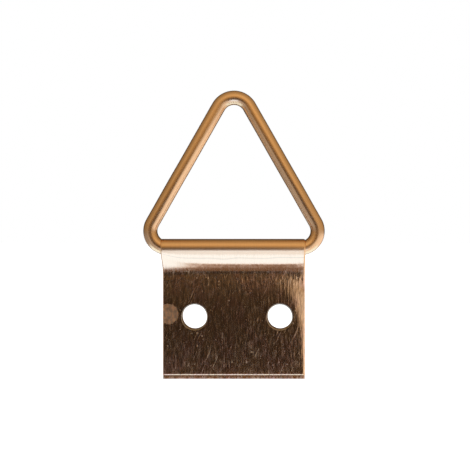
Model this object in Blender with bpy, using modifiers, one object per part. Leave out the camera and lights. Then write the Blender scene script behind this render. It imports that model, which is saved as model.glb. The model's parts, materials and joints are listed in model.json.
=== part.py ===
"""Triangle ring hanger: a bent wire triangle that swings in the fold of a two-hole sheet metal strap.

Units are metres, +Z is up and the front faces -Y. The origin is on the back face of the strap, level
with the screw holes and midway across the strap's width.
"""
import math

import bmesh
import bpy

# Strap: one strip of sheet, folded in half over the wire
STRAP_WIDTH = 0.020
SHEET_THICKNESS = 0.00025
LEAF_GAP = 0.0001
NECK_RADIUS = 0.003
AXIS_ABOVE_HOLES = 0.0097
BACK_LEAF_BELOW_HOLES = 0.0088
FRONT_LEAF_SHORTFALL = 0.0005

# Screw holes, punched through both leaves a little to the right of the middle
HOLE_DIAMETER = 0.0035
HOLE_FROM_SIDE = 0.004
HOLE_PAIR_SHIFT = 0.00045

# Ring: round wire bent to a triangle, with its two ends meeting inside the fold
WIRE_DIAMETER = 0.002
RING_REACH = 0.0222
CORNER_RADIUS = 0.0024
APEX_RADIUS = 0.0025
WIRE_END_GAP = 0.0003

# Fit: radial play of the wire in the fold, and the share of it that the corner bends take up
# where they leave the ends of the fold
WIRE_PLAY = 0.0001
BEND_SHARE = 0.75

# Fineness of the round shapes
SHEET_ARC_STEP = math.radians(6)
WIRE_ARC_STEP = math.radians(10)
WIRE_BEVEL_RESOLUTION = 6
HOLE_SIDES = 48
SHARP_EDGE = math.radians(30)

# Finish of the plating
BRASS_COLOUR = (0.80, 0.45, 0.19, 1.0)
STRAP_ROUGHNESS = 0.30
WIRE_ROUGHNESS = 0.20

# Places worked out from the sizes above
WIRE_RADIUS = WIRE_DIAMETER / 2
FOLD_MID_RADIUS = WIRE_RADIUS + WIRE_PLAY + SHEET_THICKNESS / 2
STRAP_MID_Y = -(SHEET_THICKNESS + LEAF_GAP / 2)
FOLD_AXIS = (0.0, STRAP_MID_Y, AXIS_ABOVE_HOLES)


def clear_scene():
    """Remove every object that is already in the file."""
    for old in list(bpy.data.objects):
        bpy.data.objects.remove(old, do_unlink=True)


def new_collection(name):
    """Make a collection and link it to the scene."""
    collection = bpy.data.collections.new(name)
    bpy.context.scene.collection.children.link(collection)
    return collection


def brass_plate(name, roughness):
    """Principled material for brass-plated metal."""
    material = bpy.data.materials.new(name)
    material.use_nodes = True
    shader = material.node_tree.nodes["Principled BSDF"]
    shader.inputs["Base Color"].default_value = BRASS_COLOUR
    shader.inputs["Metallic"].default_value = 1.0
    shader.inputs["Roughness"].default_value = roughness
    return material


def arc(centre, radius, start, stop, step):
    """Points along a circular arc, both ends included."""
    count = max(2, math.ceil(abs(stop - start) / step))
    angles = (start + (stop - start) * i / count for i in range(count + 1))
    return [(centre[0] + radius * math.cos(a), centre[1] + radius * math.sin(a)) for a in angles]


def fold_path():
    """Middle of the sheet in the YZ plane: up the front leaf, round the wire, down the back leaf."""
    leaf_offset = (LEAF_GAP + SHEET_THICKNESS) / 2
    neck_radius = NECK_RADIUS + SHEET_THICKNESS / 2
    reach = FOLD_MID_RADIUS + neck_radius
    neck_angle = math.acos((leaf_offset + neck_radius) / reach)
    neck_z = AXIS_ABOVE_HOLES - reach * math.sin(neck_angle)
    front_neck = (STRAP_MID_Y - leaf_offset - neck_radius, neck_z)
    back_neck = (STRAP_MID_Y + leaf_offset + neck_radius, neck_z)
    bottom = -BACK_LEAF_BELOW_HOLES
    path = [(STRAP_MID_Y - leaf_offset, bottom + FRONT_LEAF_SHORTFALL)]
    path += arc(front_neck, neck_radius, 0.0, neck_angle, SHEET_ARC_STEP)
    path += arc(FOLD_AXIS[1:], FOLD_MID_RADIUS, math.pi + neck_angle, -neck_angle, SHEET_ARC_STEP)[1:]
    path += arc(back_neck, neck_radius, math.pi - neck_angle, math.pi, SHEET_ARC_STEP)[1:]
    path.append((STRAP_MID_Y + leaf_offset, bottom))
    return path


def ring_path():
    """Middle of the wire in the XZ plane, measured from the fold's axis, from one end to the other."""
    bend_inset = math.sqrt(2 * CORNER_RADIUS * WIRE_PLAY * BEND_SHARE)
    base_half = STRAP_WIDTH / 2 - bend_inset
    apex_z = RING_REACH - WIRE_RADIUS - APEX_RADIUS
    rise = apex_z - CORNER_RADIUS
    span = math.hypot(base_half, rise)
    lean = math.atan2(base_half, rise) + math.asin((CORNER_RADIUS - APEX_RADIUS) / span)
    quarter = math.pi / 2
    path = [(WIRE_END_GAP / 2, 0.0)]
    path += arc((base_half, CORNER_RADIUS), CORNER_RADIUS, -quarter, lean, WIRE_ARC_STEP)
    path += arc((0.0, apex_z), APEX_RADIUS, lean, math.pi - lean, WIRE_ARC_STEP)
    path += arc((-base_half, CORNER_RADIUS), CORNER_RADIUS, math.pi - lean, 3 * quarter, WIRE_ARC_STEP)
    path.append((-WIRE_END_GAP / 2, 0.0))
    return path


def hole_cutter(name, x, collection):
    """Cylinder that punches one screw hole, twice as long as the two leaves are thick."""
    leaves_thickness = 2 * SHEET_THICKNESS + LEAF_GAP
    bpy.ops.mesh.primitive_cylinder_add(
        vertices=HOLE_SIDES,
        radius=HOLE_DIAMETER / 2,
        depth=2 * leaves_thickness,
        location=(x, STRAP_MID_Y, 0.0),
        rotation=(math.pi / 2, 0.0, 0.0),
    )
    cutter = bpy.context.object
    cutter.name = name
    cutter.hide_render = True
    cutter.display_type = "WIRE"
    for owner in list(cutter.users_collection):
        owner.objects.unlink(cutter)
    collection.objects.link(cutter)
    return cutter


def build_strap(parts, cutters):
    """Folded strap: the fold path swept across the width, given its thickness and punched."""
    mesh = bpy.data.meshes.new("folded_strap")
    sheet = bmesh.new()
    edge_points = [sheet.verts.new((-STRAP_WIDTH / 2, y, z)) for y, z in fold_path()]
    edges = [sheet.edges.new(pair) for pair in zip(edge_points, edge_points[1:])]
    swept = bmesh.ops.extrude_edge_only(sheet, edges=edges)["geom"]
    far_side = [item for item in swept if isinstance(item, bmesh.types.BMVert)]
    bmesh.ops.translate(sheet, verts=far_side, vec=(STRAP_WIDTH, 0.0, 0.0))
    bmesh.ops.recalc_face_normals(sheet, faces=sheet.faces)
    sheet.to_mesh(mesh)
    sheet.free()
    strap = bpy.data.objects.new("folded_strap", mesh)
    parts.objects.link(strap)
    mesh.materials.append(brass_plate("strap_brass", STRAP_ROUGHNESS))

    thickness = strap.modifiers.new("sheet", "SOLIDIFY")
    thickness.thickness = SHEET_THICKNESS
    thickness.offset = 0.0
    thickness.use_even_offset = True
    hole_x = STRAP_WIDTH / 2 - HOLE_FROM_SIDE
    for side, sign in (("left", -1), ("right", 1)):
        cut = strap.modifiers.new(f"{side}_hole", "BOOLEAN")
        cut.operation = "DIFFERENCE"
        cut.object = hole_cutter(f"{side}_hole_cutter", sign * hole_x + HOLE_PAIR_SHIFT, cutters)
    mesh.shade_smooth()
    mesh.set_sharp_from_angle(angle=SHARP_EDGE)
    return strap


def build_ring(parts, axis):
    """Triangle ring: round wire along the ring path, with its origin on the fold's axis."""
    curve = bpy.data.curves.new("triangle_ring", "CURVE")
    curve.dimensions = "3D"
    curve.bevel_depth = WIRE_RADIUS
    curve.bevel_resolution = WIRE_BEVEL_RESOLUTION
    curve.use_fill_caps = True
    points = ring_path()
    spline = curve.splines.new("POLY")
    spline.points.add(len(points) - 1)
    for point, (x, z) in zip(spline.points, points):
        point.co = (x, 0.0, z, 1.0)
    spline.use_smooth = True
    ring = bpy.data.objects.new("triangle_ring", curve)
    ring.parent = axis
    parts.objects.link(ring)
    curve.materials.append(brass_plate("wire_brass", WIRE_ROUGHNESS))


def main():
    """Build the hanger: the strap, the axis in its fold and the ring that swings on that axis."""
    clear_scene()
    parts = new_collection("triangle_ring_hanger")
    cutters = new_collection("cutters")
    strap = build_strap(parts, cutters)
    axis = bpy.data.objects.new("fold_axis", None)
    axis.location = FOLD_AXIS
    axis.empty_display_size = STRAP_WIDTH / 2
    axis.parent = strap
    parts.objects.link(axis)
    build_ring(parts, axis)


main()
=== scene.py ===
"""Looks of the triangle ring hanger: a folded brass strap and the wire triangle that swings in it.

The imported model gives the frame: the fold's axis, the faces of the two leaves and the boxes of both
pieces. The strap is a punched flat pattern bent through its fold, and the ring is a Geometry Nodes sweep
along a rounded triangle. Lengths are metres and angles are radians unless a note says otherwise, +Z is up
and the front faces -Y.
"""
from __future__ import annotations

import json
import logging
import math
from dataclasses import dataclass
from enum import Enum
from typing import Any, Mapping, Optional, Sequence, Union

import bmesh
import bpy
import numpy as np
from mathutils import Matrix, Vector


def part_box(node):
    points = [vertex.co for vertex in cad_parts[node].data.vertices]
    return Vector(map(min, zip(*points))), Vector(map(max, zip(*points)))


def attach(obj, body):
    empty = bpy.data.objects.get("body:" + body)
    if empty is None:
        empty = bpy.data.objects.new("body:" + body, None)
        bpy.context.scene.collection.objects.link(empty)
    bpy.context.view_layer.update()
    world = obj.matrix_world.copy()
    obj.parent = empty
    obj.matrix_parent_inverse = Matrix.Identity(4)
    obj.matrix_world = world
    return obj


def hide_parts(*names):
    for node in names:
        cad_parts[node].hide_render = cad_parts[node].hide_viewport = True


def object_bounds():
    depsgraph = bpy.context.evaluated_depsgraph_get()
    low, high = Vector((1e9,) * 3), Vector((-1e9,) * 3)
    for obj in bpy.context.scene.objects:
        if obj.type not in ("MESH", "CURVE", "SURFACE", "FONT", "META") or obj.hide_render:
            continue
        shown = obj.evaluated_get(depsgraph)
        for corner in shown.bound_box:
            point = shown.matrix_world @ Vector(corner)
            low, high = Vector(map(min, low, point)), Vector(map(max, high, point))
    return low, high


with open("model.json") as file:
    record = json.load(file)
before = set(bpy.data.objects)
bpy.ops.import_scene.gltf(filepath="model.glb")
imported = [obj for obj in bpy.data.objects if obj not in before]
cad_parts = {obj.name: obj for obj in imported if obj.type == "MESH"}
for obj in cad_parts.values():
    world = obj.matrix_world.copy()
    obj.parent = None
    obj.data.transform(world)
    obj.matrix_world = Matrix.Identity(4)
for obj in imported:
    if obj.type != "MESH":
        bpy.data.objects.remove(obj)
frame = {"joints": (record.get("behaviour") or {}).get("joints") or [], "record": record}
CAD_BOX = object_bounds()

LOG = logging.getLogger("hanger")
MM = 0.001
PER_MM = 1.0 / MM
NOISE_MIDDLE = 0.5

Colour = tuple[float, float, float, float]
Limits = tuple[float, float]
Number = Union[float, "Value"]
Settings = Optional[Mapping[str, Any]]
Socket = bpy.types.NodeSocket


class Value:
    """One number of a node tree: an output socket that takes part in Python arithmetic."""

    def __init__(self, graph: Graph, socket: Socket) -> None:
        """Keep the socket and the graph that its Math nodes go into."""
        self.graph = graph
        self.socket = socket

    def __add__(self, other: Number) -> Value:
        """This value plus another."""
        return self.graph.math("ADD", self, other)

    def __sub__(self, other: Number) -> Value:
        """This value less another."""
        return self.graph.math("SUBTRACT", self, other)

    def __rsub__(self, other: Number) -> Value:
        """Another value less this one."""
        return self.graph.math("SUBTRACT", other, self)

    def __mul__(self, other: Number) -> Value:
        """This value times another."""
        return self.graph.math("MULTIPLY", self, other)

    def __truediv__(self, other: Number) -> Value:
        """This value divided by another."""
        return self.graph.math("DIVIDE", self, other)

    def __rtruediv__(self, other: Number) -> Value:
        """Another value divided by this one."""
        return self.graph.math("DIVIDE", other, self)

    def __neg__(self) -> Value:
        """This value with its sign turned."""
        return self.graph.math("MULTIPLY", self, -1.0)

    __radd__ = __add__
    __rmul__ = __mul__

    def at_least(self, other: Number) -> Value:
        """The larger of this value and another."""
        return self.graph.math("MAXIMUM", self, other)

    def at_most(self, other: Number) -> Value:
        """The smaller of this value and another."""
        return self.graph.math("MINIMUM", self, other)

    def towards(self, other: Number, share: Value) -> Value:
        """This value, moved by a share of the way to another."""
        return self + share * (other - self)


class Graph:
    """A node tree that is filled through one method for nodes and one for arithmetic."""

    def __init__(self, tree: bpy.types.NodeTree) -> None:
        """Take over a node tree and empty it."""
        self.tree = tree
        self.tree.nodes.clear()

    def node(self, kind: str, settings: Settings = None, sockets: Settings = None) -> bpy.types.Node:
        """Add one node.

        Args:
            kind: Blender's type name of the node.
            settings: Properties of the node, which are set first.
            sockets: Numbers, colours, links or values for its inputs, by socket identifier.

        Returns:
            The new node.
        """
        made = self.tree.nodes.new(kind)
        for name, setting in (settings or {}).items():
            setattr(made, name, setting)
        inputs = {socket.identifier: socket for socket in made.inputs}
        for identifier, fed in (sockets or {}).items():
            source = fed.socket if isinstance(fed, Value) else fed
            if isinstance(source, Socket):
                self.tree.links.new(source, inputs[identifier])
            else:
                inputs[identifier].default_value = source
        return made

    def output(self, name: str, kind: str, settings: Settings = None, sockets: Settings = None) -> Value:
        """Add one node and take one of its outputs, by identifier, as a value."""
        made = self.node(kind, settings, sockets)
        return Value(self, next(socket for socket in made.outputs if socket.identifier == name))

    def math(self, operation: str, first: Number, second: Number = 0.0) -> Value:
        """Add a Math node and take its result."""
        return self.output("Value", "ShaderNodeMath", {"operation": operation},
                           {"Value": first, "Value_001": second})

    def vector(self, operation: str, first: Socket, second: Any = (0.0, 0.0, 0.0),
               scale: Number = 1.0) -> Socket:
        """Add a Vector Math node for one or two vectors and a scale, and take its vector."""
        return self.node("ShaderNodeVectorMath", {"operation": operation},
                         {"Vector": first, "Vector_001": second, "Scale": scale}).outputs["Vector"]


class ShaderGraph(Graph):
    """A shader tree with the few patterns that the finishes and the studio share."""

    def ease(self, value: Number, start: float, stop: float) -> Value:
        """Smooth step of a value from 0 at start to 1 at stop."""
        return self.output("Result", "ShaderNodeMapRange", {"interpolation_type": "SMOOTHSTEP"},
                           {"Value": value, "From Min": start, "From Max": stop})

    def fade(self, value: Number, start: float, stop: float) -> Value:
        """Smooth step of a value from 1 at start to 0 at stop."""
        return 1.0 - self.ease(value, start, stop)

    def ramp(self, value: Number, start: float, stop: float) -> Value:
        """Straight rise of a value from 0 at start to 1 at stop."""
        return self.output("Result", "ShaderNodeMapRange", {},
                           {"Value": value, "From Min": start, "From Max": stop})

    def window(self, value: Number, low: float, high: float, soft: float) -> Value:
        """1 where a value lies between two limits, fading to 0 outside them."""
        return self.ease(value, low - soft, low) * self.fade(value, high, high + soft)

    def scaled(self, vector: Socket, scale: Sequence[float], turn: float) -> Socket:
        """Turn coordinates about their third axis and then scale them.

        Args:
            vector: The coordinates.
            scale: Scale along each axis.
            turn: Angle of the turn.

        Returns:
            The socket of the new coordinates.
        """
        turned = self.node("ShaderNodeMapping", {}, {"Vector": vector, "Rotation": (0.0, 0.0, turn)})
        scaled = self.node("ShaderNodeMapping", {}, {"Vector": turned.outputs[0], "Scale": scale})
        return scaled.outputs[0]

    def noise(self, vector: Socket, detail: float, harsh: float) -> Value:
        """Noise of unit scale over the given coordinates, from 0 to 1."""
        return self.output("Fac", "ShaderNodeTexNoise", {},
                           {"Vector": vector, "Scale": 1.0, "Detail": detail, "Roughness": harsh})

    def attribute(self, name: str, part: str) -> Value:
        """One output, such as Fac or Vector, of a node that reads one of the mesh's attributes."""
        return self.output(part, "ShaderNodeAttribute", {"attribute_name": name})

    def mirrored(self) -> Value:
        """1 for what is seen in metal or through glass, and 0 for all else."""
        path = self.node("ShaderNodeLightPath").outputs
        return Value(self, path["Is Glossy Ray"]).at_least(Value(self, path["Is Transmission Ray"]))

    def tint(self, share: Number, first: Any, second: Any) -> Socket:
        """Mix two colours.

        Args:
            share: How much of the second colour shows, from 0 to 1.
            first: Colour or colour socket where the share is 0.
            second: Colour or colour socket where the share is 1.

        Returns:
            The socket of the mixed colour.
        """
        return self.output("Result_Color", "ShaderNodeMix", {"data_type": "RGBA"},
                           {"Factor_Float": share, "A_Color": first, "B_Color": second}).socket


def new_material(name: str) -> tuple[bpy.types.Material, ShaderGraph]:
    """Make a material with an empty node tree.

    Args:
        name: Name of the material.

    Returns:
        The material, and its tree to be filled.
    """
    made = bpy.data.materials.new(name)
    made.use_nodes = True
    return made, ShaderGraph(made.node_tree)


def new_object(name: str, data: Any) -> bpy.types.Object:
    """Make an object and link it to the scene.

    Args:
        name: Name of the object.
        data: Its mesh, curve or camera.

    Returns:
        The new object.
    """
    made = bpy.data.objects.new(name, data)
    bpy.context.scene.collection.objects.link(made)
    return made


@dataclass(frozen=True)
class Streaks:
    """Noise on a piece, drawn out by a scale of its own along each axis of the piece's pattern.

    Attributes:
        scale: Cells of noise per millimetre along each axis.
        detail: Number of finer layers in the noise.
        harsh: Strength of each finer layer, as a share of the one before it.
        turn: Angle by which the pattern is turned.
        limits: Noise at which the streaks begin to show and at which they show in full; without limits the
            noise stays as it is.
        wear: Roughness that the streaks add where they show in full.
    """

    scale: tuple[float, float, float]
    detail: float = 1.0
    harsh: float = 0.5
    turn: float = 0.0
    limits: Optional[Limits] = None
    wear: float = 0.0

    def over(self, graph: ShaderGraph, place: Socket) -> Value:
        """How strongly the streaks show over a surface, from 0 to 1."""
        noise = graph.noise(graph.scaled(place, self.scale, self.turn), self.detail, self.harsh)
        return graph.ease(noise, *self.limits) if self.limits else noise


@dataclass(frozen=True, kw_only=True)
class Plating:
    """Bright brass plate as it is on both pieces, before what each piece's making leaves in it.

    Attributes:
        brass: Reflected colour of clean plate.
        dull: Reflected colour where the plate has toned down; the strap also uses it for painted shade along
            its crease.
        polish: Roughness of clean plate.
        relief_depth: Depth of the surface's relief.
        attribute: Mesh attribute that holds the piece's pattern coordinates, in millimetres.
    """

    brass: Colour = (0.83, 0.45, 0.17, 1.0)
    dull: Colour
    polish: float
    relief_depth: float
    attribute: str

    def shade(self, graph: ShaderGraph, colour: Socket, roughness: Value, height: Value) -> None:
        """Finish a material's tree with a metal shader.

        Args:
            graph: The material's tree.
            colour: Socket of the reflected colour.
            roughness: Roughness over the surface.
            height: Relief over the surface, as a share of its depth.
        """
        bump = graph.node("ShaderNodeBump", {}, {"Height": height, "Distance": self.relief_depth})
        metal = graph.node("ShaderNodeBsdfPrincipled", {}, {
            "Base Color": colour, "Metallic": 1.0, "Roughness": roughness, "Normal": bump.outputs[0]})
        graph.node("ShaderNodeOutputMaterial", {}, {"Surface": metal.outputs[0]})


@dataclass(frozen=True, kw_only=True)
class RolledPlate(Plating):
    """Plate on rolled sheet: grain along the strip, handling scratches and one worn plating mark.

    All places and lengths are millimetres on the flat strip. Its first axis runs across the strip, and its
    second axis runs along it from the top of the fold.

    Attributes:
        fold_end: Where the fold proper ends.
        neck_end: Where the bend below it ends.
        leaf_start: Where the flat leaf starts.
        mark_at: Middle of the plating mark.
        mark_radius: Radius of the mark.
        mark_soft: Half the width of its fading edge.
        mark_stray: How far its outline strays.
        mark_colour: Reflected colour of the mark.
        mark_roughness: Roughness of the mark.
        rosy: Reflected colour where the plate is richer in copper.
        cut: Reflected colour of the punched edges, where there is no plate.
        cut_roughness: Roughness of those edges.
        bare_attribute: Mesh attribute that is 1 on those edges.
        grain: Rolling grain.
        bands: Broad bands along the strip.
        hair: Hairline scratches along the strip.
        slant: Scratches at a slant.
        specks: Small specks.
        pits: Dull streaks.
        cloud: Clouds of the rosy colour.
        ripple: Ripples along the strip.
        mottle: Dents left by handling.
        sway: Slow waves of the sheet.
        ragged: Stray of the mark's outline.
        pits_share: Share of the dull colour in the pits.
        blotch_limits: Mottle at which the mark begins to be blotched, and is in full.
        blotch_share: Share of the dull colour in those blotches.
        crease_shade_limits: Distances from the crease on the neck at which its painted shade begins to fade
            and is gone.
        crease_shade_share: Share of the dull colour in the shade line painted along the crease.
        crease_shade_sway: How far that painted shade line strays.
        smoothing: Share of the pits and of the wear that the neck is spared.
        smooth_past: Length below the neck that is still as smooth.
        worked_fade: Lengths below the fold proper at which its rubbed finish begins to fade and is gone.
        worked_wear: Roughness that the rubbing adds.
        strain_reach: Length of leaf over which the strain of the bending fades.
        strain_wear: Roughness that the strain adds.
        formed_fade: Lengths past the leaf's start at which the relief sets in and is in full.
        formed_flat: Share of the relief that the bending took away.
        ripple_height: Share of the relief that the ripples have on the leaf.
        ripple_strain: How much more they have where the sheet was strained.
        mottle_height: Share of the relief that the mottle has on the leaf.
        mottle_strain: How much more it has where the sheet was strained.
    """

    dull: Colour = (0.42, 0.235, 0.098, 1.0)
    polish: float = 0.08
    relief_depth: float = 0.04 * MM
    attribute: str = "strip"
    fold_end: float
    neck_end: float
    leaf_start: float
    mark_at: tuple[float, float]
    mark_radius: float = 1.45
    mark_soft: float = 0.12
    mark_stray: float = 0.3
    mark_colour: Colour = (0.95, 0.45, 0.15, 1.0)
    mark_roughness: float = 0.35
    rosy: Colour = (0.82, 0.41, 0.18, 1.0)
    cut: Colour = (0.34, 0.23, 0.11, 1.0)
    cut_roughness: float = 0.45
    bare_attribute: str = "bare"
    grain: Streaks = Streaks((4.0, 0.8, 1.0), 3.0, 0.65, limits=(0.35, 0.8), wear=0.17)
    bands: Streaks = Streaks((0.55, 0.07, 1.0), 2.0, wear=0.05)
    hair: Streaks = Streaks((7.0, 0.16, 1.0), limits=(0.66, 0.74), wear=0.1)
    slant: Streaks = Streaks((6.0, 0.25, 1.0), turn=math.radians(24), limits=(0.68, 0.76), wear=0.16)
    specks: Streaks = Streaks((2.6, 2.2, 1.0), 0.0, limits=(0.78, 0.82), wear=0.2)
    pits: Streaks = Streaks((6.0, 0.8, 1.0), 3.0, 0.6, limits=(0.4, 0.7))
    cloud: Streaks = Streaks((0.5, 0.35, 1.0), 2.0, limits=(0.4, 0.65))
    ripple: Streaks = Streaks((3.0, 0.45, 1.0))
    mottle: Streaks = Streaks((2.3, 1.5, 1.0), 2.0)
    sway: Streaks = Streaks((0.2, 0.3, 1.0))
    ragged: Streaks = Streaks((2.0, 2.0, 1.0), 2.0)
    pits_share: float = 0.9
    blotch_limits: Limits = (0.35, 0.65)
    blotch_share: float = 0.7
    crease_shade_limits: Limits = (0.04, 0.14)
    crease_shade_share: float = 0.3
    crease_shade_sway: float = 0.8
    smoothing: float = 0.8
    smooth_past: float = 0.4
    worked_fade: Limits = (0.2, 0.8)
    worked_wear: float = 0.23
    strain_reach: float = 3.5
    strain_wear: float = 0.05
    formed_fade: Limits = (-0.2, 0.6)
    formed_flat: float = 0.93
    ripple_height: float = 0.4
    ripple_strain: float = 0.5
    mottle_height: float = 0.2
    mottle_strain: float = 0.9

    def material(self, name: str) -> bpy.types.Material:
        """Make the material, which reads the flat strip's millimetres from a mesh attribute.

        Args:
            name: Name of the material.

        Returns:
            The material.
        """
        made, graph = new_material(name)
        strip = graph.attribute(self.attribute, "Vector").socket
        bare = graph.attribute(self.bare_attribute, "Fac")
        along = graph.math("ABSOLUTE", graph.output("Y", "ShaderNodeSeparateXYZ", {}, {"Vector": strip}))
        worked = graph.fade(along, *(self.fold_end + past for past in self.worked_fade))
        smooth = graph.fade(along, self.neck_end + self.smooth_past, self.leaf_start)
        formed = graph.fade(along, *(self.leaf_start + past for past in self.formed_fade))
        strained = graph.fade(along, self.leaf_start, self.leaf_start + self.strain_reach)
        sway = self.sway.over(graph, strip) - NOISE_MIDDLE
        mottle = self.mottle.over(graph, strip)
        mark = self.mark(graph, strip)

        colour = graph.tint(self.cloud.over(graph, strip) * (1.0 - smooth), self.brass, self.rosy)
        pits = self.pits.over(graph, strip) * (self.pits_share - self.smoothing * smooth)
        colour = graph.tint(pits, colour, self.dull)
        blotch = graph.ease(mottle, *self.blotch_limits) * self.blotch_share
        colour = graph.tint(mark, colour, graph.tint(blotch, self.mark_colour, self.dull))
        # Painted shade: a darker line of the dull colour along the crease in the neck's bend.
        from_crease = along - (self.fold_end + self.neck_end) / 2 + sway * self.crease_shade_sway
        crease = graph.fade(graph.math("ABSOLUTE", from_crease), *self.crease_shade_limits)
        colour = graph.tint(crease * self.crease_shade_share, colour, self.dull)
        colour = graph.tint(bare, colour, self.cut)

        worn_by = (self.grain, self.bands, self.hair, self.slant, self.specks)
        wear = sum(streaks.over(graph, strip) * streaks.wear for streaks in worn_by)
        roughness = self.polish + wear * (1.0 - self.smoothing * smooth)
        roughness = roughness + worked * self.worked_wear + (strained - smooth) * self.strain_wear
        roughness = roughness.towards(self.mark_roughness, mark).towards(self.cut_roughness, bare)

        ripple = self.ripple.over(graph, strip) - NOISE_MIDDLE
        relief = sway + ripple * (self.ripple_height + self.ripple_strain * strained)
        relief = relief + (mottle - NOISE_MIDDLE) * (self.mottle_height + self.mottle_strain * strained)
        self.shade(graph, colour, roughness, relief * (1.0 - self.formed_flat * formed))
        return made

    def mark(self, graph: ShaderGraph, strip: Socket) -> Value:
        """Mask of the plating mark, with a slightly ragged outline.

        Args:
            graph: The material's tree.
            strip: Coordinates on the flat strip.

        Returns:
            1 on the mark and 0 off it.
        """
        apart = graph.output("Value", "ShaderNodeVectorMath", {"operation": "LENGTH"},
                             {"Vector": graph.vector("SUBTRACT", strip, (*self.mark_at, 0.0))})
        distance = apart + (self.ragged.over(graph, strip) - NOISE_MIDDLE) * self.mark_stray
        return graph.fade(distance, self.mark_radius - self.mark_soft, self.mark_radius + self.mark_soft)


@dataclass(frozen=True, kw_only=True)
class DrawnPlate(Plating):
    """Plate on drawn wire: fine lines along the wire and faint dull stretches.

    Attributes:
        lines: Drawing lines. The pattern's third axis runs along the wire.
        bands: Stretches where the plate has toned down.
        dull_gain: How fast the dull colour grows with the bands.
        dull_floor: Part of that growth that does not show yet.
    """

    dull: Colour = (0.46, 0.27, 0.12, 1.0)
    polish: float = 0.2
    relief_depth: float = 0.004 * MM
    attribute: str = "drawn"
    lines: Streaks = Streaks((4.0, 4.0, 0.25), 2.0, wear=0.08)
    bands: Streaks = Streaks((1.0, 1.0, 0.15), 2.0, wear=0.06)
    dull_gain: float = 0.8
    dull_floor: float = 0.3

    def material(self, name: str) -> bpy.types.Material:
        """Make the material, which reads the way round and along the wire from a mesh attribute.

        Args:
            name: Name of the material.

        Returns:
            The material.
        """
        made, graph = new_material(name)
        drawn = graph.attribute(self.attribute, "Vector").socket
        lines = self.lines.over(graph, drawn)
        bands = self.bands.over(graph, drawn)
        dullness = (bands * self.dull_gain - self.dull_floor).at_least(0.0).at_most(1.0)
        colour = graph.tint(dullness, self.brass, self.dull)
        roughness = self.polish + lines * self.lines.wear + bands * self.bands.wear
        self.shade(graph, colour, roughness, lines)
        return made


class Leaf(Enum):
    """The two halves of the folded strip, with the way that each one faces along Y."""

    FRONT = -1.0
    BACK = 1.0


class Edge(Enum):
    """Cut edges of the strip, with the width of the rounding that the cutting leaves on each."""

    LEFT = 0.12 * MM
    RIGHT = 0.25 * MM
    FRONT_END = 0.15 * MM
    BACK_END = 0.13 * MM
    HOLE = 0.17 * MM


@dataclass
class Rim:
    """One closed edge of the flat pattern, with the sheet on its left as it is followed.

    Attributes:
        loop: Numbers of its points, in order.
        outward: Way out of the sheet at each point.
        roll: Width of the rounding at each point.
        bare: Share of the cut metal that shows without plate.
    """

    loop: list[int]
    outward: np.ndarray
    roll: np.ndarray
    bare: float = 0.0


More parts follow.
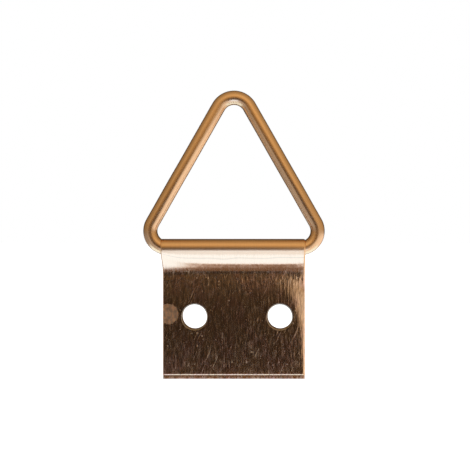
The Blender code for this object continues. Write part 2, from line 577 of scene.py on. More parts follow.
class FlatPattern:
    """The strip before it is folded: a grid of points with rings of quads around the punched holes.

    Attributes:
        FIRST_RING: Width of the ring of quads next to a hole, in widths of the hole's rounding.
    """

    FIRST_RING = 1.8

    def __init__(self, across: np.ndarray, along: np.ndarray) -> None:
        """Lay out the grid.

        Args:
            across: Grid lines across the strip's width, in rising order.
            along: Grid lines along its length, in rising order.
        """
        self.across = across
        self.along = along
        self.points = [(u, v) for v in along for u in across]
        self.quads: list[tuple[int, ...]] = []
        self.rims: list[Rim] = []

    def number(self, column: int, row: int) -> int:
        """Number of a grid point."""
        return row * len(self.across) + column

    def outline(self, left: int, low: int, right: int, high: int) -> list[int]:
        """Grid points around a block of cells.

        Args:
            left: Column of points along its left side.
            low: Row of points along its lower side.
            right: Column of points along its right side.
            high: Row of points along its upper side.

        Returns:
            Numbers of the points, counter-clockwise from the low left corner.
        """
        loop = [self.number(column, low) for column in range(left, right)]
        loop += [self.number(right, row) for row in range(low, high)]
        loop += [self.number(column, high) for column in range(right, left, -1)]
        loop += [self.number(left, row) for row in range(high, low, -1)]
        return loop

    def fill(self, holes: Sequence[tuple[float, float]], radius: float, reach: float, rings: int) -> None:
        """Cover the pattern with quads, and punch it.

        Args:
            holes: Middles of the holes.
            radius: Radius of the holes.
            reach: Half the side of the square of cells that gives way to rings around a hole.
            rings: Rings of quads around a hole.
        """
        columns, rows = len(self.across) - 1, len(self.along) - 1
        blocks = []
        for u, v in holes:
            left, right = (int(np.abs(self.across - stop).argmin()) for stop in (u - reach, u + reach))
            low, high = (int(np.abs(self.along - stop).argmin()) for stop in (v - reach, v + reach))
            blocks.append((left, low, right, high))
        for row in range(rows):
            for column in range(columns):
                if not any(a <= column < c and b <= row < d for a, b, c, d in blocks):
                    corners = ((column, row), (column + 1, row), (column + 1, row + 1), (column, row + 1))
                    self.quads.append(tuple(self.number(*corner) for corner in corners))
        for hole, block in zip(holes, blocks):
            self.punch(hole, radius, self.outline(*block), rings)
        self.rims.append(self.border(columns, rows))

    def punch(self, hole: tuple[float, float], radius: float, outline: list[int], rings: int) -> None:
        """Join a hole's edge to the outline around it with rings of quads, and note the edge as a rim.

        Args:
            hole: Middle of the hole.
            radius: Radius of the hole.
            outline: Numbers of the grid points around it, in order.
            rings: Rings of quads between the two.
        """
        middle = np.array(hole)
        outer = np.array([self.points[number] for number in outline])
        spokes = (outer - middle) / np.linalg.norm(outer - middle, axis=1)[:, None]
        start = middle + spokes * radius
        first = middle + spokes * (radius + self.FIRST_RING * Edge.HOLE.value)
        layers = [start] + [first + (outer - first) * ring / (rings - 1) for ring in range(rings - 1)]
        numbers = []
        for layer in layers:
            numbers.append(range(len(self.points), len(self.points) + len(outline)))
            self.points += [tuple(point) for point in layer]
        self.quads += ribbon([*numbers, outline])
        roll = np.full(len(outline), Edge.HOLE.value)
        self.rims.append(Rim(list(numbers[0])[::-1], -spokes[::-1], roll, bare=1.0))

    def border(self, columns: int, rows: int) -> Rim:
        """The strip's own outline, with the rounding that belongs to each of its four sides.

        Args:
            columns: Columns of cells in the grid.
            rows: Rows of cells in it.

        Returns:
            The outline as a rim.
        """
        loop = self.outline(0, 0, columns, rows)
        outward, roll = [], []
        for number in loop:
            row, column = divmod(number, columns + 1)
            sides = {(-1.0, 0.0): (column == 0, Edge.LEFT), (1.0, 0.0): (column == columns, Edge.RIGHT),
                     (0.0, -1.0): (row == 0, Edge.FRONT_END), (0.0, 1.0): (row == rows, Edge.BACK_END)}
            met = [(way, edge) for way, (on_it, edge) in sides.items() if on_it]
            outward.append(np.sum([way for way, _ in met], axis=0))
            roll.append(min(edge.value for _, edge in met))
        return Rim(loop, np.array(outward), np.array(roll))


def ribbon(rows: Sequence[Sequence[int]]) -> list[tuple[int, ...]]:
    """Quads between closed rows of points, each row joined to the next one.

    Args:
        rows: Numbers of the points in each row, with as many in every row.

    Returns:
        The quads.
    """
    quads = []
    for upper, lower in zip(rows, rows[1:]):
        for here in range(len(upper)):
            there = (here + 1) % len(upper)
            quads.append((upper[here], lower[here], lower[there], upper[there]))
    return quads


def spread(stops: Sequence[float], cells: Sequence[float]) -> np.ndarray:
    """Grid lines through every stop, evenly spaced between two stops.

    Args:
        stops: Lines that have to be there, in rising order.
        cells: Largest spacing between each stop and the next.

    Returns:
        All lines, in rising order.
    """
    slack = 1e-6
    lines = [stops[0]]
    for start, stop, cell in zip(stops, stops[1:], cells):
        count = max(1, math.ceil((stop - start) / cell - slack))
        lines += list(np.linspace(start, stop, count + 1)[1:])
    return np.array(lines)


@dataclass
class FoldedStrap:
    """One strip of sheet, folded in half over the wire and punched with two screw holes.

    Attributes:
        low: Lowest corner of the solid strap's box.
        high: Highest corner of that box.
        axis: Point on the fold's axis.
        front_y: Place of the front leaf's face.
        back_y: Place of the back leaf's face.
        wire_radius: Radius of the wire that the fold wraps.
        name: Name of the piece.
        sheet: Thickness of the sheet.
        fold_clearance: Play of the wire in the fold.
        hole_spacing: Distance between the two holes.
        hole_shift: How far the pair of holes sits to the right of the middle.
        hole_radius: Radius of the holes.
        hole_slip: How far right and up the back leaf's holes sit from the front leaf's.
        mark_place: Place of the plating mark on the front leaf, to the right and up.
        front_shortfall: How much shorter the front leaf is than the back leaf.
        neck_radius: Radius of the bend that leads from a leaf to the fold, at the middle of the sheet.
        neck_ease: Slope of the leaf where that bend starts, midway across the strap.
        ease_length: Length of leaf over which that slope grows there.
        ease_power: Power of the distance with which it closes in on that slope.
        left_flare: How much steeper that slope is at the left edge.
        left_dip: How much lower the slope starts at the left edge.
        left_reach: Width over which that flare and dip fade.
        right_flare: How much steeper that slope is at the right edge.
        right_reach: Width over which that flare fades.
        bulge: How far the fold is squeezed out past the leaves at the left edge.
        curl_width: Width of the strip at the right edge that is curled back, at the lower end.
        curl_growth: How much wider it would be level with the fold's axis.
        curl_rise: Power of the height with which it widens.
        curl_lead: How far above the flat leaf the curl begins.
        curl_fade: Length over which the curl sets in.
        curl_power: Power of the distance with which the curl's slope grows.
        curl_slope: Slope of the curl at the edge.
        droop_length: Length at the leaves' ends that is bent back.
        droop_slope: Slope of that bend at the end.
        leaf_cell: Largest cell of the mesh on the flat leaves.
        bend_cell: Largest cell along the bends.
        hole_reach: Half the side of the square around a hole that its rings of quads fill.
        hole_rings: Rings of quads around a hole.
        roll_depth: Depth of a cut edge's rounding, as a share of its width.
        roll_steps: Rows of points round that edge.
        flare_rounds: Rounds of fitting the neck to the flare.
        burr: Size of the bevel on the edge of the sheet's inner face.
        sharp: Angle from which an edge of the mesh is sharp.
    """

    low: Vector
    high: Vector
    axis: Vector
    front_y: float
    back_y: float
    wire_radius: float
    name: str = "strap"
    sheet: float = 0.25 * MM
    fold_clearance: float = 0.03 * MM
    hole_spacing: float = 12.0 * MM
    hole_shift: float = 0.45 * MM
    hole_radius: float = 1.75 * MM
    hole_slip: tuple[float, float] = (0.07 * MM, 0.11 * MM)
    mark_place: tuple[float, float] = (-9.25 * MM, 0.42 * MM)
    front_shortfall: float = 0.6 * MM
    neck_radius: float = 8.0 * MM
    neck_ease: float = math.radians(12.4)
    ease_length: float = 1.3 * MM
    ease_power: float = 3.0
    left_flare: float = math.radians(5.0)
    left_dip: float = 0.35 * MM
    left_reach: float = 2.3 * MM
    right_flare: float = math.radians(1.5)
    right_reach: float = 1.0 * MM
    bulge: float = 0.25 * MM
    curl_width: float = 0.6 * MM
    curl_growth: float = 8.0 * MM
    curl_rise: float = 3.0
    curl_lead: float = 0.6 * MM
    curl_fade: float = 2.5 * MM
    curl_power: float = 1.3
    curl_slope: float = math.tan(math.radians(9.5))
    droop_length: float = 0.2 * MM
    droop_slope: float = math.tan(math.radians(14.0))
    leaf_cell: float = 0.325 * MM
    bend_cell: float = 0.12 * MM
    hole_reach: float = 2.6 * MM
    hole_rings: int = 5
    roll_depth: float = 0.6
    roll_steps: int = 5
    flare_rounds: int = 8
    burr: float = 0.03 * MM
    sharp: float = math.radians(30.0)

    def __post_init__(self) -> None:
        """Work out the fold's profile from the sizes."""
        self.half_width = self.high.x
        self.mid_y = (self.front_y + self.back_y) / 2
        self.leaf_offset = (self.back_y - self.front_y - self.sheet) / 2
        self.fold_radius = self.wire_radius + self.fold_clearance + self.sheet / 2
        start, angle = self.neck(self.neck_ease, self.ease_length)
        self.ease_end = start - self.ease_length
        self.arc_end = self.fold_radius * (math.pi / 2 + angle)
        self.neck_end = self.arc_end + self.neck_radius * (angle - self.neck_ease)
        self.leaf_start = self.neck_end + self.ease_length

    def neck(self, ease: Any, span: Any) -> tuple[Any, Any]:
        """Place the bend between leaf and fold so that it runs smoothly into both.

        Args:
            ease: Slope of the leaf where the bend starts, or an array of them.
            span: Height over which that slope grows, or an array of them.

        Returns:
            Height at which the bend starts, and the slope at which it meets the fold.
        """
        out = self.neck_foot(ease, span) + self.neck_radius * np.cos(ease)
        rise = np.sqrt((self.fold_radius + self.neck_radius) ** 2 - out ** 2)
        return self.axis.z - rise + self.neck_radius * np.sin(ease), np.arctan2(rise, out)

    def neck_foot(self, ease: Any, span: Any) -> Any:
        """Distance of the bend's start from the plane midway between the leaves."""
        return self.leaf_offset + np.tan(ease) * span * self.eased(1.0)[0]

    def eased(self, share: Any) -> tuple[Any, Any]:
        """How far out the leaf has eased on its way to the bend, and how steep it has become.

        Args:
            share: Share of the easing's height, or an array of them.

        Returns:
            The offset, as a share of that height times the full slope, and the share of the full slope.
        """
        left = 1.0 - share
        power = self.ease_power + 1.0
        return share - (1.0 - left ** power) / power, 1.0 - left ** self.ease_power

    def near_left(self, u: np.ndarray) -> np.ndarray:
        """Share of what the left edge does to the strap, by the place across it."""
        return np.exp(-(u + self.half_width) / self.left_reach)

    def flared(self, u: np.ndarray) -> tuple[np.ndarray, np.ndarray, np.ndarray, np.ndarray]:
        """Fit the bend's start to the flares and the dip, across the strap.

        Args:
            u: Places across the strip.

        Returns:
            Slope and height of the bend's start, the slope at which it meets the fold and the height of the
            flat leaf's top.
        """
        ease = self.neck_ease + self.left_flare * self.near_left(u)
        ease = ease + self.right_flare * np.exp((u - self.half_width) / self.right_reach)
        leaf_top = self.ease_end - self.left_dip * self.near_left(u)
        span = np.full_like(u, self.ease_length)
        for _ in range(self.flare_rounds):
            start, angle = self.neck(ease, span)
            span = start - leaf_top
        return ease, start, angle, leaf_top

    def strip_place(self, x: float, z: float, leaf: Leaf) -> tuple[float, float]:
        """Point of the flat strip that lies at a place on one of the leaves."""
        return x, leaf.value * (self.leaf_start + self.ease_end - z)

    def pattern(self) -> FlatPattern:
        """Lay out the strip, cover it with quads and punch it.

        Returns:
            The flat pattern, with its length measured from the top of the fold.
        """
        hole_x = [self.hole_shift - self.hole_spacing / 2, self.hole_shift + self.hole_spacing / 2]
        across = [-self.half_width]
        for x in hole_x:
            across += [x - self.hole_reach, x + self.hole_reach]
        across.append(self.half_width)
        hole_at = self.strip_place(0.0, 0.0, Leaf.BACK)[1]
        back_end = self.strip_place(0.0, self.low.z, Leaf.BACK)[1]
        bends = [0.0, self.arc_end, self.neck_end, self.leaf_start + self.left_dip]
        leaf = [hole_at - self.hole_reach, hole_at + self.hole_reach, back_end]
        front = bends + leaf[:-1] + [back_end - self.front_shortfall]
        stops = [-stop for stop in front[:0:-1]] + bends + leaf
        cells = [self.bend_cell] * (len(bends) - 1) + [self.leaf_cell] * len(leaf)
        flat = FlatPattern(spread(across, [self.leaf_cell] * len(across)), spread(stops, cells[::-1] + cells))
        slip_x, slip_z = self.hole_slip
        holes = [(x, Leaf.FRONT.value * hole_at) for x in hole_x]
        holes += [(x + slip_x, Leaf.BACK.value * (hole_at - slip_z)) for x in hole_x]
        flat.fill(holes, self.hole_radius, self.hole_reach, self.hole_rings)
        return flat

    def fold(self, u: np.ndarray, v: np.ndarray, lift: np.ndarray) -> np.ndarray:
        """Bend points of the flat strip into the folded strap.

        Args:
            u: Places across the strip.
            v: Places along the strip, from the top of the fold.
            lift: Heights above the middle of the sheet, towards its outer face.

        Returns:
            The points in space, one row each.
        """
        way = np.where(v < 0.0, Leaf.FRONT.value, Leaf.BACK.value)
        s = np.abs(v)
        ease, start, angle, leaf_top = self.flared(u)
        span = start - leaf_top
        run = self.ease_length + self.ease_end - leaf_top
        stretches = [s <= self.arc_end, s <= self.neck_end, s <= self.neck_end + run]

        turn = math.pi / 2 - s / self.arc_end * (math.pi / 2 + angle)
        arc_out = self.fold_radius * np.cos(turn)
        arc_z = self.axis.z + self.fold_radius * np.sin(turn)
        bend = angle - (s - self.arc_end) / (self.neck_end - self.arc_end) * (angle - ease)
        neck_out = self.neck_foot(ease, span) + self.neck_radius * (np.cos(ease) - np.cos(bend))
        neck_z = start + self.neck_radius * (np.sin(bend) - np.sin(ease))
        share = np.clip(1.0 - (s - self.neck_end) / run, 0.0, 1.0)
        offset_share, slope_share = self.eased(share)
        ease_out = self.leaf_offset + np.tan(ease) * span * offset_share
        ease_z = leaf_top + share * span
        ease_slope = np.arctan(np.tan(ease) * slope_share)
        leaf_z = self.ease_end - (s - self.leaf_start)

        out = np.select(stretches, [arc_out, neck_out, ease_out], self.leaf_offset)
        z = np.select(stretches, [arc_z, neck_z, ease_z], leaf_z)
        tilt = np.select(stretches, [turn, -bend, -ease_slope], 0.0)
        settled = np.clip((s - self.leaf_start + self.curl_lead) / self.curl_fade, 0.0, 1.0)
        settled = settled ** 2 * (3.0 - 2.0 * settled)
        x = u - self.bulge * share ** 2 * self.near_left(u)
        y = self.mid_y + way * (out + lift * np.cos(tilt)) + settled * self.set_back(u, z)
        return np.stack([x, y, z + lift * np.sin(tilt)], axis=1)

    def set_back(self, x: np.ndarray, z: np.ndarray) -> np.ndarray:
        """How far the leaves are bent back at their right edge and at their ends.

        Args:
            x: Places across the strap.
            z: Heights.

        Returns:
            Distances along Y.
        """
        rise = np.clip((z - self.low.z) / (self.axis.z - self.low.z), 0.0, 1.0)
        width = self.curl_width + self.curl_growth * rise ** self.curl_rise
        curl = np.clip(1.0 - (self.half_width - x) / width, 0.0, None)
        droop = np.clip(1.0 - (z - self.low.z) / self.droop_length, 0.0, None)
        curled = self.curl_slope * width / (self.curl_power + 1) * curl ** (self.curl_power + 1)
        drooped = self.droop_slope * self.droop_length / 2 * droop ** 2
        return curled + drooped

    def layers(self, rim: Rim, flat: np.ndarray) -> list[tuple[np.ndarray, np.ndarray]]:
        """Rows of points round a cut edge, between the outer face and the inner face of the sheet.

        Args:
            rim: The edge.
            flat: All points of the flat pattern.

        Returns:
            For each row, its points on the flat strip and their heights.
        """
        edge = flat[rim.loop]
        depth = np.minimum(rim.roll * self.roll_depth, self.sheet / 2)
        rows = []
        for step in range(1, self.roll_steps + 1):
            sweep = math.pi / 2 * step / self.roll_steps
            inset = (rim.roll * (1.0 - math.sin(sweep)))[:, None]
            rows.append((edge - rim.outward * inset, self.sheet / 2 - depth * (1.0 - math.cos(sweep))))
        rows.append((edge, np.full(len(edge), self.burr - self.sheet / 2)))
        return rows

    def shell(self, pattern: FlatPattern) -> tuple[np.ndarray, np.ndarray, list[tuple[int, ...]]]:
        """Both faces of the flat sheet, and the walls that join them round its cut edges.

        Args:
            pattern: The flat pattern.

        Returns:
            A row for each point, with its place across and along the strip and its height, the share of bare
            metal at each point, and the faces.
        """
        flat = np.array(pattern.points)
        outer, inner = flat.copy(), flat.copy()
        for rim in pattern.rims:
            outer[rim.loop] -= rim.outward * rim.roll[:, None]
            inner[rim.loop] -= rim.outward * self.burr
        places = [outer, inner]
        lifts = [np.full(len(flat), self.sheet / 2), np.full(len(flat), -self.sheet / 2)]
        bares = [np.zeros(2 * len(flat))]
        faces = list(pattern.quads)
        faces += [tuple(number + len(flat) for number in quad[::-1]) for quad in pattern.quads]
        total = 2 * len(flat)
        for rim in pattern.rims:
            rows = [rim.loop]
            for place, lift in self.layers(rim, flat):
                rows.append(range(total, total + len(rim.loop)))
                total += len(rim.loop)
                places.append(place)
                lifts.append(lift)
                bares.append(np.full(len(rim.loop), rim.bare))
            rows.append([number + len(flat) for number in rim.loop])
            faces += ribbon(rows)
        return np.column_stack([np.concatenate(places), np.concatenate(lifts)]), np.concatenate(bares), faces

    def finish(self) -> RolledPlate:
        """The plate on the sheet, with its bends and its mark where this strap has them."""
        mark_u, mark_v = self.strip_place(*self.mark_place, Leaf.FRONT)
        return RolledPlate(
            fold_end=self.arc_end * PER_MM, neck_end=self.neck_end * PER_MM,
            leaf_start=self.leaf_start * PER_MM, mark_at=(mark_u * PER_MM, mark_v * PER_MM))

    def build(self, finish: RolledPlate) -> bpy.types.Object:
        """Make the strap's mesh and dress it.

        Args:
            finish: The plate on the sheet.

        Returns:
            The strap, riding on its body in place of the solid one.
        """
        strip, bare, faces = self.shell(self.pattern())
        used = sorted({number for face in faces for number in face})
        renumbered = {number: place for place, number in enumerate(used)}
        strip, bare = strip[used], bare[used]
        points = self.fold(*strip.T)
        mesh = bpy.data.meshes.new(self.name)
        mesh.from_pydata(points.tolist(), [], [[renumbered[number] for number in face] for face in faces])
        mesh.shade_smooth()
        mesh.set_sharp_from_angle(angle=self.sharp)
        attribute = mesh.attributes.new(finish.attribute, "FLOAT_VECTOR", "POINT")
        attribute.data.foreach_set("vector", (strip * PER_MM).astype(np.float32).ravel())
        attribute = mesh.attributes.new(finish.bare_attribute, "FLOAT", "POINT")
        attribute.data.foreach_set("value", bare.astype(np.float32))
        mesh.materials.append(finish.material("strap_brass"))
        return seat(mesh, "strap", "folded_strap")


@dataclass
class TriangleRing:
    """Round wire bent to a rounded triangle, with its two ends meeting inside the fold.

    Attributes:
        low: Lowest corner of the solid ring's box.
        high: Highest corner of that box.
        axis: Point on the fold's axis, where the wire's ends meet.
        name: Name of the piece.
        corner_radius: Radius of the two lower bends, at the middle of the wire.
        apex_radius: Radius of the bend at the apex.
        end_gap: Gap between the wire's ends.
        step: Spacing of the rings of points along the wire.
        sides: Points round the wire.
        bend_points: Points along each bend before the wire is cut into even steps.
        waver: How far the wire strays from its straight runs.
        waver_length: Length over which it strays.
    """

    low: Vector
    high: Vector
    axis: Vector
    name: str = "ring"
    corner_radius: float = 2.4 * MM
    apex_radius: float = 2.5 * MM
    end_gap: float = 0.3 * MM
    step: float = 0.22 * MM
    sides: int = 40
    bend_points: int = 24
    waver: float = 0.03 * MM
    waver_length: float = 7.0 * MM

    @property
    def wire_radius(self) -> float:
        """Half the thickness of the ring."""
        return (self.high.y - self.low.y) / 2

    def corners(self) -> list[Vector]:
        """Lay out the wire's middle before its bends are rounded.

        Returns:
            End, corner, apex, corner and end, in order.
        """
        base_half = self.high.x - self.wire_radius - self.corner_radius
        apex_middle = self.high.z - self.axis.z - self.wire_radius - self.apex_radius
        rise = apex_middle - self.corner_radius
        narrowing = math.asin((self.corner_radius - self.apex_radius) / math.hypot(base_half, rise))
        lean = math.atan2(base_half, rise) + narrowing
        corner_x = base_half + self.corner_radius * math.tan(math.pi / 4 + lean / 2)
        apex_z = apex_middle + self.apex_radius / math.sin(lean)
        end_x = self.end_gap / 2
        flat = [(end_x, 0.0), (corner_x, 0.0), (0.0, apex_z), (-corner_x, 0.0), (-end_x, 0.0)]
        return [self.axis + Vector((x, 0.0, z)) for x, z in flat]

    def guide(self) -> bpy.types.Object:
        """Draw straight runs between the corners, for the node tree to round and sweep.

        Returns:
            A curve object in the scene.
        """
        curve = bpy.data.curves.new(f"{self.name}_guide", "CURVE")
        curve.dimensions = "3D"
        corners = self.corners()
        spline = curve.splines.new("POLY")
        spline.points.add(len(corners) - 1)
        for point, corner in zip(spline.points, corners):
            point.co = (*corner, 1.0)
        return new_object(curve.name, curve)

    def build(self, finish: DrawnPlate) -> bpy.types.Object:
        """Sweep the wire with Geometry Nodes and dress it.

        Args:
            finish: The plate on the wire.

        Returns:
            The ring, riding on its body in place of the solid one.
        """
        guide = self.guide()
        bent_wire = BentWire(finish.attribute)
        modifier = guide.modifiers.new("bent_wire", "NODES")
        modifier.node_group = bent_wire.tree
        bent_wire.set_inputs(modifier, {
            "Wire Radius": self.wire_radius, "Corner Radius": self.corner_radius,
            "Apex Radius": self.apex_radius, "Bend Points": self.bend_points, "Step": self.step,
            "Sides": self.sides, "Waver": self.waver, "Waver Length": self.waver_length,
            "Material": finish.material("wire_brass")})
        bpy.context.view_layer.update()
        evaluated = guide.evaluated_get(bpy.context.evaluated_depsgraph_get())
        mesh = bpy.data.meshes.new_from_object(evaluated)
        mesh.name = self.name
        guide.modifiers.remove(modifier)
        bpy.data.objects.remove(guide)
        return seat(mesh, "ring", "triangle_ring")


class BentWire(Graph):
    """Geometry Nodes tree that rounds the corners of a guide curve and sweeps a round wire along it.

    Attributes:
        INPUTS: Kind of each of the tree's inputs, by name.
        APEX_POINT: Number of the guide's point at the apex.
    """

    INPUTS = {
        "Geometry": "NodeSocketGeometry", "Wire Radius": "NodeSocketFloat",
        "Corner Radius": "NodeSocketFloat", "Apex Radius": "NodeSocketFloat",
        "Bend Points": "NodeSocketInt", "Step": "NodeSocketFloat", "Sides": "NodeSocketInt",
        "Waver": "NodeSocketFloat", "Waver Length": "NodeSocketFloat", "Material": "NodeSocketMaterial"}
    APEX_POINT = 2

    def __init__(self, attribute: str) -> None:
        """Build the tree.

        Args:
            attribute: Name of the mesh attribute that is to hold the way round and along the wire.
        """
        super().__init__(bpy.data.node_groups.new("bent_wire", "GeometryNodeTree"))
        self.identifiers = {}
        for name, kind in self.INPUTS.items():
            made = self.tree.interface.new_socket(name=name, in_out="INPUT", socket_type=kind)
            self.identifiers[name] = made.identifier
        self.tree.interface.new_socket(name="Geometry", in_out="OUTPUT", socket_type="NodeSocketGeometry")
        self.sizes = self.node("NodeGroupInput").outputs
        swept = self.sweep(self.wavered(self.rounded()), attribute)
        smooth = self.node("GeometryNodeSetShadeSmooth", {}, {"Geometry": swept})
        whole = self.node("GeometryNodeRealizeInstances", {}, {"Geometry": smooth.outputs[0]})
        dressed = self.node("GeometryNodeSetMaterial", {}, {
            "Geometry": whole.outputs[0], "Material": self.sizes["Material"]})
        result = self.node("NodeGroupOutput")
        self.tree.links.new(dressed.outputs[0], result.inputs[0])

    def set_inputs(self, modifier: bpy.types.NodesModifier, sizes: Mapping[str, Any]) -> None:
        """Set a modifier's inputs by the identifiers of the tree's sockets."""
        for name, size in sizes.items():
            modifier[self.identifiers[name]] = size

    def rounded(self) -> Socket:
        """Bend the guide to an arc at each corner, and cut it into even steps.

        Returns:
            The socket of the new curve.
        """
        index = self.node("GeometryNodeInputIndex").outputs[0]
        at_apex = self.node("FunctionNodeCompare", {"data_type": "INT", "operation": "EQUAL"}, {
            "A_INT": index, "B_INT": self.APEX_POINT})
        radius = self.node("GeometryNodeSwitch", {"input_type": "FLOAT"}, {
            "Switch": at_apex.outputs[0], "False": self.sizes["Corner Radius"],
            "True": self.sizes["Apex Radius"]})
        bent = self.node("GeometryNodeFilletCurve", {"mode": "POLY"}, {
            "Curve": self.sizes["Geometry"], "Count": self.sizes["Bend Points"],
            "Radius": radius.outputs[0]})
        even = self.node("GeometryNodeResampleCurve", {"mode": "LENGTH"}, {
            "Curve": bent.outputs[0], "Length": self.sizes["Step"]})
        return even.outputs[0]

    def wavered(self, curve: Socket) -> Socket:
        """Give a curve the slight straying of wire that was bent by machine.

        Args:
            curve: Socket of the curve.

        Returns:
            The socket of the new curve.
        """
        position = self.node("GeometryNodeInputPosition").outputs[0]
        shrunk = self.vector("SCALE", position, scale=1.0 / Value(self, self.sizes["Waver Length"]))
        noise = self.node("ShaderNodeTexNoise", {}, {"Vector": shrunk, "Scale": 1.0, "Detail": 1.0})
        centred = self.vector("SUBTRACT", noise.outputs["Color"], (NOISE_MIDDLE,) * 3)
        stray = self.vector("SCALE", centred, scale=2.0 * Value(self, self.sizes["Waver"]))
        moved = self.node("GeometryNodeSetPosition", {}, {"Geometry": curve, "Offset": stray})
        return moved.outputs[0]

    def sweep(self, curve: Socket, attribute: str) -> Socket:
        """Sweep a closed tube along a curve, and store the way round it and the millimetres along it.

        Args:
            curve: Socket of the curve.
            attribute: Name of the mesh attribute to store them under.

        Returns:
            The socket of the tube.
        """
        length = self.node("GeometryNodeSplineParameter").outputs["Length"]
        path, along = self.captured(curve, "FLOAT", length)
        circle = self.node("GeometryNodeCurvePrimitiveCircle", {"mode": "RADIUS"}, {
            "Resolution": self.sizes["Sides"], "Radius": self.sizes["Wire Radius"]})
        unit = self.vector("NORMALIZE", self.node("GeometryNodeInputPosition").outputs[0])
        profile, around = self.captured(circle.outputs["Curve"], "VECTOR", unit)
        tube = self.node("GeometryNodeCurveToMesh", {}, {
            "Curve": path, "Profile Curve": profile, "Fill Caps": True})
        lengthwise = self.node("ShaderNodeCombineXYZ", {}, {"Z": Value(self, along) * PER_MM})
        place = self.vector("ADD", around, lengthwise.outputs[0])
        kept = {"data_type": "FLOAT_VECTOR", "domain": "POINT"}
        stored = self.node("GeometryNodeStoreNamedAttribute", kept, {
            "Geometry": tube.outputs[0], "Name": attribute, "Value": place})
        return stored.outputs[0]

    def captured(self, curve: Socket, kind: str, field: Socket) -> tuple[Socket, Socket]:
        """Keep a field's values on a curve's points.

        Args:
            curve: Socket of the curve.
            kind: Kind of the values.
            field: Socket of the field.

        Returns:
            The sockets of the curve and of the kept values.
        """
        keeper = self.node("GeometryNodeCaptureAttribute", {"domain": "POINT"})
        keeper.capture_items.new(kind, "kept")
        self.tree.links.new(curve, keeper.inputs[0])
        self.tree.links.new(field, keeper.inputs[1])
        return keeper.outputs[0], keeper.outputs[1]


def seat(mesh: bpy.types.Mesh, body: str, node: str) -> bpy.types.Object:
    """Put a finished mesh in the scene in place of a solid.

    Args:
        mesh: The mesh, with its place in its points.
        body: Body that it moves with.
        node: Solid that it stands for.

    Returns:
        The new object.
    """
    piece = new_object(mesh.name, mesh)
    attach(piece, body)
    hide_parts(node)
    return piece


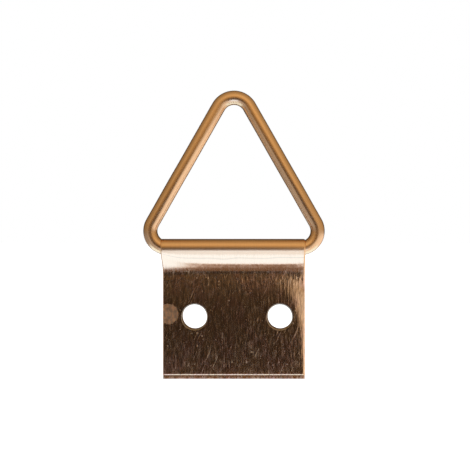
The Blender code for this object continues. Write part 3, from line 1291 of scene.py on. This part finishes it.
@dataclass
class LightTent:
    """Soft tent around the hanger that only the metal mirrors.

    Directions from its middle are parts of a unit vector: right along +X, front along -Y and up along +Z.
    Limits, depths, heights and widths are such parts too.

    Attributes:
        middle: Middle of the tent.
        radius: Radius of the tent.
        segments: Columns and rows of faces in its mesh.
        warm: Colour of the light from above.
        cool: Colour of the light from below.
        amber: Colour of the upper part of the dark opening.
        dusk: Colour of its lower part.
        blush: Colour of the shaded strip below it.
        above: Brightness of the upper half at the sides.
        above_front: How much brighter it gets halfway up to the front.
        above_right: How much brighter it is towards the right.
        above_depth: Depths between which the upper half grows brighter towards the front.
        below: Brightness of the lower half in the middle.
        below_right: How much brighter it is towards the right.
        below_depth: Depths between which the lower half grows brighter towards the front.
        back: Share of the brightness that is left at the back.
        level_drop: Heights below the middle between which the upper brightness gives way to the lower one.
        cool_drop: Heights below the middle between which the light turns cool.
        cool_depth: Depths between which it turns cool towards the front.
        dark: Brightness of the opening in front, around the camera.
        dark_depth: Depths between which the opening sets in.
        dark_sides: Left and right limits of the opening.
        dark_lean: How far right the opening leans, per height below the middle.
        side_soft: Width over which those limits fade.
        dark_low: Lower limit of the opening.
        dark_fade: Heights between which the opening fades upwards.
        dusk_fade: Heights between which its colour turns from dusk to amber.
        shade: Brightness of the shaded strip below the opening.
        lamp_low: Lower edge of the lamp below that strip.
        lamp_high: Upper edge of the lamp.
        lamp_sides: Left and right limits of the lamp.
        lamp_depth: Depths between which the lamp sets in.
        lamp_soft: Width over which the limits of the lamp's sides and of the card's depth fade.
        lamp_glow: Brightness of the lamp.
        lamp_colour: Colour of the lamp.
        card_depth: Rear and front limits of the pale card under the hanger.
        card_lean: How far to the side, per height below the middle, the card reaches.
        lean_soft: Width over which the card's sides fade.
        card_glow: Brightness of the card.
        card_colour: Colour of the card.
        soft: Width over which the other edges fade.
    """

    middle: Vector
    radius: float
    segments: tuple[int, int] = (64, 32)
    warm: Colour = (1.0, 0.88, 0.74, 1.0)
    cool: Colour = (0.88, 1.0, 1.5, 1.0)
    amber: Colour = (1.0, 0.66, 0.32, 1.0)
    dusk: Colour = (1.0, 0.9, 1.0, 1.0)
    blush: Colour = (1.0, 0.66, 0.5, 1.0)
    above: float = 0.45
    above_front: float = 1.2
    above_right: float = 0.09
    above_depth: Limits = (-0.7, 0.0)
    below: float = 0.9
    below_right: float = 0.5
    below_depth: Limits = (-0.9, -0.4)
    back: float = 0.2
    level_drop: Limits = (0.0, 0.15)
    cool_drop: Limits = (-0.12, 0.12)
    cool_depth: Limits = (-0.75, -0.45)
    dark: float = 0.043
    dark_depth: Limits = (-0.2, 0.0)
    dark_sides: Limits = (-0.42, 0.13)
    dark_lean: float = 0.35
    side_soft: float = 0.22
    dark_low: float = -0.41
    dark_fade: Limits = (-0.15, 0.6)
    dusk_fade: Limits = (-0.05, 0.1)
    shade: float = 0.18
    lamp_low: float = -0.83
    lamp_high: float = -0.475
    lamp_sides: Limits = (-0.28, 0.28)
    lamp_depth: Limits = (0.0, 0.1)
    lamp_soft: float = 0.1
    lamp_glow: float = 1.75
    lamp_colour: Colour = (0.72, 1.2, 2.8, 1.0)
    card_depth: Limits = (-0.6, 0.24)
    card_lean: float = 1.3
    lean_soft: float = 0.4
    card_glow: float = 1.5
    card_colour: Colour = (0.82, 1.3, 2.4, 1.0)
    soft: float = 0.04

    def build(self) -> None:
        """Make the tent, which nothing but a reflection shows."""
        columns, rows = self.segments
        shape = bmesh.new()
        bmesh.ops.create_uvsphere(shape, u_segments=columns, v_segments=rows, radius=self.radius)
        mesh = bpy.data.meshes.new("light_tent")
        shape.to_mesh(mesh)
        shape.free()
        tent = new_object("light_tent", mesh)
        tent.location = self.middle
        material, graph = new_material("tent_cloth")
        material.cycles.emission_sampling = "NONE"
        glow, colour = self.light(graph)
        cloth = graph.node("ShaderNodeEmission", {}, {"Color": colour, "Strength": glow})
        clear = graph.node("ShaderNodeBsdfTransparent")
        surface = graph.node("ShaderNodeMixShader", {}, {
            "Fac": graph.mirrored(), "Shader": clear.outputs[0], "Shader_001": cloth.outputs[0]})
        graph.node("ShaderNodeOutputMaterial", {}, {"Surface": surface.outputs[0]})
        mesh.materials.append(material)

    def light(self, graph: ShaderGraph) -> tuple[Value, Socket]:
        """Work out the tent's light by the direction from its middle.

        Args:
            graph: The tree of the tent's material.

        Returns:
            The brightness, and the socket of the colour.
        """
        way = graph.vector("NORMALIZE", graph.node("ShaderNodeTexCoord").outputs["Object"])
        parts = graph.node("ShaderNodeSeparateXYZ", {}, {"Vector": way}).outputs
        right, front, up = Value(graph, parts["X"]), -Value(graph, parts["Y"]), Value(graph, parts["Z"])
        ahead = front.at_least(0.0)
        above = self.above + self.above_front * ahead * ahead * up.at_least(0.0) + self.above_right * right
        above = above * (self.back + (1.0 - self.back) * graph.ease(front, *self.above_depth))
        below = self.below + self.below_right * right
        below = below * (self.back + (1.0 - self.back) * graph.ease(front, *self.below_depth))
        glow = above.towards(below, graph.ease(-up, *self.level_drop))
        coolness = graph.ease(-up, *self.cool_drop) * graph.ease(front, *self.cool_depth)
        colour = graph.tint(coolness, self.warm, self.cool)

        sideways = right + self.dark_lean * up.at_most(0.0)
        facing = graph.window(sideways, *self.dark_sides, self.side_soft)
        facing = facing * graph.ease(front, *self.dark_depth)
        shaded = facing * graph.window(up, self.lamp_high, self.dark_low, self.soft)
        dark = facing * graph.ease(up, self.dark_low, self.dark_low + self.soft)
        dark = dark * (1.0 - graph.ramp(up, *self.dark_fade))
        dark_colour = graph.tint(graph.ease(up, *self.dusk_fade), self.dusk, self.amber)

        lamp_top = self.lamp_high - self.soft
        lamp = graph.window(up, self.lamp_low, lamp_top, self.soft)
        lamp = lamp * graph.window(right, *self.lamp_sides, self.lamp_soft)
        lamp = lamp * graph.ease(front, *self.lamp_depth)
        lean = graph.math("ABSOLUTE", right) / (-up).at_least(self.soft)
        card = graph.fade(lean, self.card_lean, self.card_lean + self.lean_soft)
        card = card * graph.fade(up, lamp_top, self.lamp_high)
        card = card * graph.window(front, *self.card_depth, self.lamp_soft)

        patches = ((shaded, self.shade, self.blush), (dark, self.dark, dark_colour),
                   (lamp, self.lamp_glow, self.lamp_colour), (card, self.card_glow, self.card_colour))
        for share, brightness, tone in patches:
            glow = glow.towards(brightness, share)
            colour = graph.tint(share, colour, tone)
        return glow, colour


@dataclass
class Studio:
    """Camera, floor and white surroundings of the hanger, with the light tent that it stands in.

    Attributes:
        axis: Point on the fold's axis, in the middle of the tent.
        ring_reach: How far the ring reaches from that axis.
        aim_x: Place to the right that the camera looks at.
        aim_z: Height that it looks at.
        frame_side: Side of the square that the picture shows there.
        lens_mm: Focal length of the camera, in millimetres.
        sensor_mm: Width of the camera's sensor, in millimetres.
        clip_start: Distance from which the camera sees.
        floor_side: Side of the floor.
        floor_clearance: Height of the ring above the floor where it hangs straight down.
        floor_glow: Brightness that the floor shows to the camera beyond the light that falls on it.
        floor_colour: Colour of the floor.
        surround: Colour of the surroundings.
        tent_radius: Radius of the light tent.
    """

    axis: Vector
    ring_reach: float
    aim_x: float = 0.14 * MM
    aim_z: float = 11.53 * MM
    frame_side: float = 66.3 * MM
    lens_mm: float = 60.0
    sensor_mm: float = 36.0
    clip_start: float = 1.0 * MM
    floor_side: float = 4.0
    floor_clearance: float = 1.0 * MM
    floor_glow: float = 0.5
    floor_colour: Colour = (0.8, 0.8, 0.8, 1.0)
    surround: Colour = (1.0, 1.0, 1.0, 1.0)
    tent_radius: float = 95.0 * MM

    def build(self) -> None:
        """Make everything around the hanger."""
        bpy.context.scene.view_settings.view_transform = "Standard"
        self.camera()
        self.floor()
        self.world()
        LightTent(self.axis, self.tent_radius).build()

    def camera(self) -> None:
        """Camera straight in front of its aim."""
        data = bpy.data.cameras.new("camera")
        data.lens = self.lens_mm
        data.sensor_width = self.sensor_mm
        data.clip_start = self.clip_start
        camera = new_object("camera", data)
        away = self.frame_side * self.lens_mm / self.sensor_mm
        camera.location = (self.aim_x, self.axis.y - away, self.aim_z)
        camera.rotation_euler = (math.pi / 2, 0.0, 0.0)
        bpy.context.scene.camera = camera

    def floor(self) -> None:
        """Pale floor that shows white to the camera, keeps shadows and lets the tent's light by."""
        half = self.floor_side / 2
        height = self.axis.z - self.ring_reach - self.floor_clearance
        corners = ((-half, -half), (half, -half), (half, half), (-half, half))
        mesh = bpy.data.meshes.new("floor")
        mesh.from_pydata([(x, y, height) for x, y in corners], [], [(0, 1, 2, 3)])
        floor = new_object("floor", mesh)
        material, graph = new_material("pale_floor")
        seen = Value(graph, graph.node("ShaderNodeLightPath").outputs["Is Camera Ray"])
        paper = graph.node("ShaderNodeBsdfDiffuse", {}, {"Color": self.floor_colour})
        white = graph.node("ShaderNodeEmission", {}, {"Strength": seen * self.floor_glow})
        both = graph.node("ShaderNodeAddShader", {}, {
            "Shader": paper.outputs[0], "Shader_001": white.outputs[0]})
        clear = graph.node("ShaderNodeBsdfTransparent")
        surface = graph.node("ShaderNodeMixShader", {}, {
            "Fac": graph.mirrored(), "Shader": both.outputs[0], "Shader_001": clear.outputs[0]})
        graph.node("ShaderNodeOutputMaterial", {}, {"Surface": surface.outputs[0]})
        mesh.materials.append(material)

    def world(self) -> None:
        """Plain light of one colour all round."""
        world = bpy.data.worlds.new("studio")
        world.use_nodes = True
        bpy.context.scene.world = world
        graph = ShaderGraph(world.node_tree)
        light = graph.node("ShaderNodeBackground", {}, {"Color": self.surround, "Strength": 1.0})
        graph.node("ShaderNodeOutputWorld", {}, {"Surface": light.outputs[0]})


def main() -> None:
    """Build the hanger's two pieces and the studio around them, and report each one."""
    logging.basicConfig(level=logging.INFO, format="%(message)s")
    mounts = {mount["name"]: mount for mount in frame["record"]["mounts"]}
    axis = Vector(frame["joints"][0]["pos_m"])
    ring = TriangleRing(*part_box("triangle_ring"), axis)
    strap = FoldedStrap(*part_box("folded_strap"), axis, mounts["front_face"]["pos_m"][1],
                        mounts["back_face"]["pos_m"][1], ring.wire_radius)
    for piece in (strap.build(strap.finish()), ring.build(DrawnPlate())):
        LOG.info("%s: %d faces", piece.name, len(piece.data.polygons))
    Studio(axis, ring_reach=CAD_BOX[1][2] - axis.z).build()


if __name__ == "__main__":
    main()
